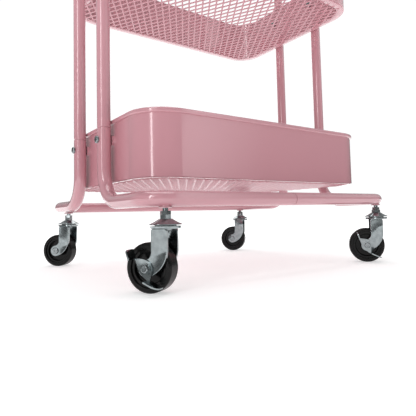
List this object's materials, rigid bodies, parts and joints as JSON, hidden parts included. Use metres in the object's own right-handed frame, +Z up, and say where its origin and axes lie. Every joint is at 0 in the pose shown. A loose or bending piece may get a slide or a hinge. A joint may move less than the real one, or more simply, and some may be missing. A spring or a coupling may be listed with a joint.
{
  "type": "three-tier rolling trolley cart",
  "caption": "Rolling spa trolley with stacked mesh-floored metal baskets on a bent-tube frame and swivel casters, the front pair braked.",
  "frame": {"origin": "on the floor, midway between the four upright posts", "axes": "+X along the long side to the right, +Y from the braked front side to the rear, +Z up"},
  "size_m": [0.4461, 0.3981, 0.8655],
  "materials": {
    "pink_enamel": "glossy powder coat, dusty pink",
    "zinc": "bright zinc plated pressed steel",
    "bolt_zinc": "zinc plated fastener",
    "black_nylon": "moulded, slightly glossy",
    "black_rubber": "smooth solid tread, semi-gloss"
  },
  "bodies": {
    "frame": {"base_tube_front_left": "pink_enamel", "base_tube_front_right": "pink_enamel", "base_tube_rear_left": "pink_enamel", "base_tube_rear_right": "pink_enamel", "base_sleeves": "zinc", "handle_left": "pink_enamel", "handle_right": "pink_enamel", "basket_wall_lower": "pink_enamel", "basket_floor_lower": "pink_enamel", "basket_screws_lower": "bolt_zinc", "basket_nuts_lower": "bolt_zinc", "basket_wall_middle": "pink_enamel", "basket_floor_middle": "pink_enamel", "basket_screws_middle": "bolt_zinc", "basket_nuts_middle": "bolt_zinc", "basket_wall_upper": "pink_enamel", "basket_floor_upper": "pink_enamel", "basket_screws_upper": "bolt_zinc", "basket_nuts_upper": "bolt_zinc", "caster_inserts": "pink_enamel", "caster_stem_front_left": "bolt_zinc", "caster_nut_front_left": "bolt_zinc", "caster_cap_front_left": "zinc", "caster_stem_front_right": "bolt_zinc", "caster_nut_front_right": "bolt_zinc", "caster_cap_front_right": "zinc", "caster_stem_rear_left": "bolt_zinc", "caster_nut_rear_left": "bolt_zinc", "caster_cap_rear_left": "zinc", "caster_stem_rear_right": "bolt_zinc", "caster_nut_rear_right": "bolt_zinc", "caster_cap_rear_right": "zinc"},
    "swivel_front_left": {"caster_balls_front_left": "bolt_zinc", "caster_fork_front_left": "zinc", "caster_axle_front_left": "bolt_zinc", "caster_axle_nut_front_left": "bolt_zinc"},
    "wheel_front_left": {"caster_hub_front_left": "black_nylon", "caster_tyre_front_left": "black_rubber"},
    "brake_front_left": {"brake_lever_front_left": "zinc"},
    "swivel_front_right": {"caster_balls_front_right": "bolt_zinc", "caster_fork_front_right": "zinc", "caster_axle_front_right": "bolt_zinc", "caster_axle_nut_front_right": "bolt_zinc"},
    "wheel_front_right": {"caster_hub_front_right": "black_nylon", "caster_tyre_front_right": "black_rubber"},
    "brake_front_right": {"brake_lever_front_right": "zinc"},
    "swivel_rear_left": {"caster_balls_rear_left": "bolt_zinc", "caster_fork_rear_left": "zinc", "caster_axle_rear_left": "bolt_zinc", "caster_axle_nut_rear_left": "bolt_zinc"},
    "wheel_rear_left": {"caster_hub_rear_left": "black_nylon", "caster_tyre_rear_left": "black_rubber"},
    "swivel_rear_right": {"caster_balls_rear_right": "bolt_zinc", "caster_fork_rear_right": "zinc", "caster_axle_rear_right": "bolt_zinc", "caster_axle_nut_rear_right": "bolt_zinc"},
    "wheel_rear_right": {"caster_hub_rear_right": "black_nylon", "caster_tyre_rear_right": "black_rubber"}
  },
  "joints": [
    {"name": "swivel_front_left", "type": "hinge", "parent": "frame", "child": "swivel_front_left", "pos_m": [-0.188, -0.17179, 0.068], "axis": [0, 0, 1], "continuous": true},
    {"name": "roll_front_left", "type": "hinge", "parent": "swivel_front_left", "child": "wheel_front_left", "pos_m": [-0.19699, -0.15795, 0.0265], "axis": [-0.8387, -0.5446, 0], "continuous": true},
    {"name": "brake_front_left", "type": "hinge", "parent": "swivel_front_left", "child": "brake_front_left", "pos_m": [-0.19699, -0.15795, 0.0265], "axis": [-0.8387, -0.5446, 0], "range_deg": [0, 24]},
    {"name": "swivel_front_right", "type": "hinge", "parent": "frame", "child": "swivel_front_right", "pos_m": [0.188, -0.17179, 0.068], "axis": [0, 0, 1], "continuous": true},
    {"name": "roll_front_right", "type": "hinge", "parent": "swivel_front_right", "child": "wheel_front_right", "pos_m": [0.17739, -0.15915, 0.0265], "axis": [-0.766, -0.6428, 0], "continuous": true},
    {"name": "brake_front_right", "type": "hinge", "parent": "swivel_front_right", "child": "brake_front_right", "pos_m": [0.17739, -0.15915, 0.0265], "axis": [-0.766, -0.6428, 0], "range_deg": [0, 24]},
    {"name": "swivel_rear_left", "type": "hinge", "parent": "frame", "child": "swivel_rear_left", "pos_m": [-0.188, 0.17179, 0.068], "axis": [0, 0, 1], "continuous": true},
    {"name": "roll_rear_left", "type": "hinge", "parent": "swivel_rear_left", "child": "wheel_rear_left", "pos_m": [-0.19904, 0.18405, 0.0265], "axis": [-0.7431, -0.6691, 0], "continuous": true},
    {"name": "swivel_rear_right", "type": "hinge", "parent": "frame", "child": "swivel_rear_right", "pos_m": [0.188, 0.17179, 0.068], "axis": [0, 0, 1], "continuous": true},
    {"name": "roll_rear_right", "type": "hinge", "parent": "swivel_rear_right", "child": "wheel_rear_right", "pos_m": [0.17717, 0.18424, 0.0265], "axis": [-0.7547, -0.6561, 0], "continuous": true}
  ]
}
